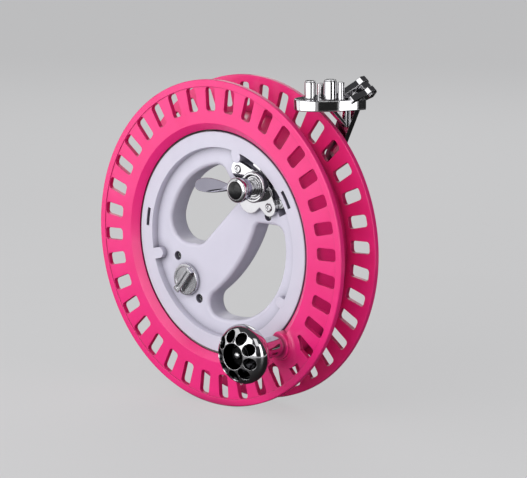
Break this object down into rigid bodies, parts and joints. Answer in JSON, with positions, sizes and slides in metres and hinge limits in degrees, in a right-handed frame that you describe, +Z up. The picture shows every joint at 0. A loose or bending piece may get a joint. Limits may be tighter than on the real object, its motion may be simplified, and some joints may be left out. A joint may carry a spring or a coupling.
{
  "type": "kite line winder",
  "caption": "Hand-held kite line winder: slotted drum turning on a big bearing round a grip hub, with a crank knob, a lever brake and a folding line guide.",
  "frame": {"origin": "on the drum's axis, halfway through the drum's width, inside the grip bar", "axes": "+Y along the drum's axis, from the crank side to the back; +Z up, towards the line guide's plate; +X to the right as seen from the crank side"},
  "size_m": [0.22, 0.0969, 0.227],
  "materials": {
    "pink_plastic": "glossy moulded pink plastic",
    "white_plastic": "satin moulded plastic, white with a faint violet cast",
    "chrome": "polished chrome plating",
    "steel": "plain bright steel",
    "silver_paint": "satin silver paint",
    "black_gloss": "black gloss",
    "rubber": "black brake rubber",
    "nylon": "natural nylon"
  },
  "bodies": {
    "hub": {"hub_front": "white_plastic", "grip_front": "white_plastic", "hub_back": "white_plastic", "grip_rear": "white_plastic", "hub_screws": "steel", "shell_screws": "steel", "inner_race": "steel", "brake_plate": "chrome", "brake_collar": "chrome", "brake_screws": "chrome", "spring_post": "steel", "return_spring": "steel", "guide_arm": "chrome", "arm_screws": "steel", "guide_pin": "steel"},
    "drum": {"front_flange": "pink_plastic", "back_flange": "pink_plastic", "drum_core": "pink_plastic", "bearing_spacers": "nylon", "drum_screws": "steel", "outer_race": "steel", "crank_stem": "chrome", "crank_screw": "steel"},
    "bearing_cage": {"ball_cage": "nylon", "bearing_balls": "steel"},
    "crank_handle": {"crank_knob": "chrome", "crank_bush": "nylon"},
    "brake_arm": {"brake_spindle": "chrome", "brake_lever": "chrome"},
    "brake_cup": {"brake_knob": "chrome", "brake_knob_cap": "black_gloss"},
    "brake_block": {"brake_shoe": "steel", "brake_pad": "rubber"},
    "latch": {"turn_knob": "silver_paint", "turn_clip": "steel"},
    "guide": {"guide_plate": "chrome", "axle_front": "chrome", "axle_side": "chrome", "thin_posts": "chrome"},
    "front_roller": {"roller_front": "chrome"},
    "side_roller": {"roller_side": "chrome"}
  },
  "joints": [
    {"name": "drum_spin", "type": "hinge", "parent": "hub", "child": "drum", "pos_m": [0, 0, 0], "axis": [0, 1, 0], "continuous": true},
    {"name": "cage_spin", "type": "hinge", "parent": "hub", "child": "bearing_cage", "pos_m": [0, 0, 0], "axis": [0, 1, 0], "continuous": true},
    {"name": "crank_knob_spin", "type": "hinge", "parent": "drum", "child": "crank_handle", "pos_m": [0.0587, -0.056, -0.05953], "axis": [0, 1, 0], "continuous": true},
    {"name": "brake_turn", "type": "hinge", "parent": "hub", "child": "brake_arm", "pos_m": [0.0315, -0.02, 0.0419], "axis": [0, -1, 0], "range_deg": [0, 36]},
    {"name": "shoe_slide", "type": "slide", "parent": "hub", "child": "brake_block", "axis": [0.6009, 0, 0.7993], "range_m": [0, 0.00088]},
    {"name": "cup_turn", "type": "hinge", "parent": "brake_arm", "child": "brake_cup", "pos_m": [0.0315, -0.031, 0.0419], "axis": [0, -1, 0], "range_deg": [0, 180]},
    {"name": "latch_turn", "type": "hinge", "parent": "hub", "child": "latch", "pos_m": [-0.035, -0.012, -0.03], "axis": [0, -1, 0], "range_deg": [0, 90]},
    {"name": "guide_fold", "type": "hinge", "parent": "hub", "child": "guide", "pos_m": [0.09192, 0.025, 0.10915], "axis": [-0.7649, 0, 0.6441], "range_deg": [0, 95]},
    {"name": "front_roller_spin", "type": "hinge", "parent": "guide", "child": "front_roller", "pos_m": [0.0693, -0.0033, 0.109], "axis": [0, 0, 1], "continuous": true},
    {"name": "side_roller_spin", "type": "hinge", "parent": "guide", "child": "side_roller", "pos_m": [0.0809, 0.0031, 0.109], "axis": [0, 0, 1], "continuous": true}
  ],
  "couplings": [
    {"joint": "cage_spin", "follows": "drum_spin", "ratio": 0.5165},
    {"joint": "brake_turn", "follows": "shoe_slide", "rad_per_m": 712.76}
  ]
}
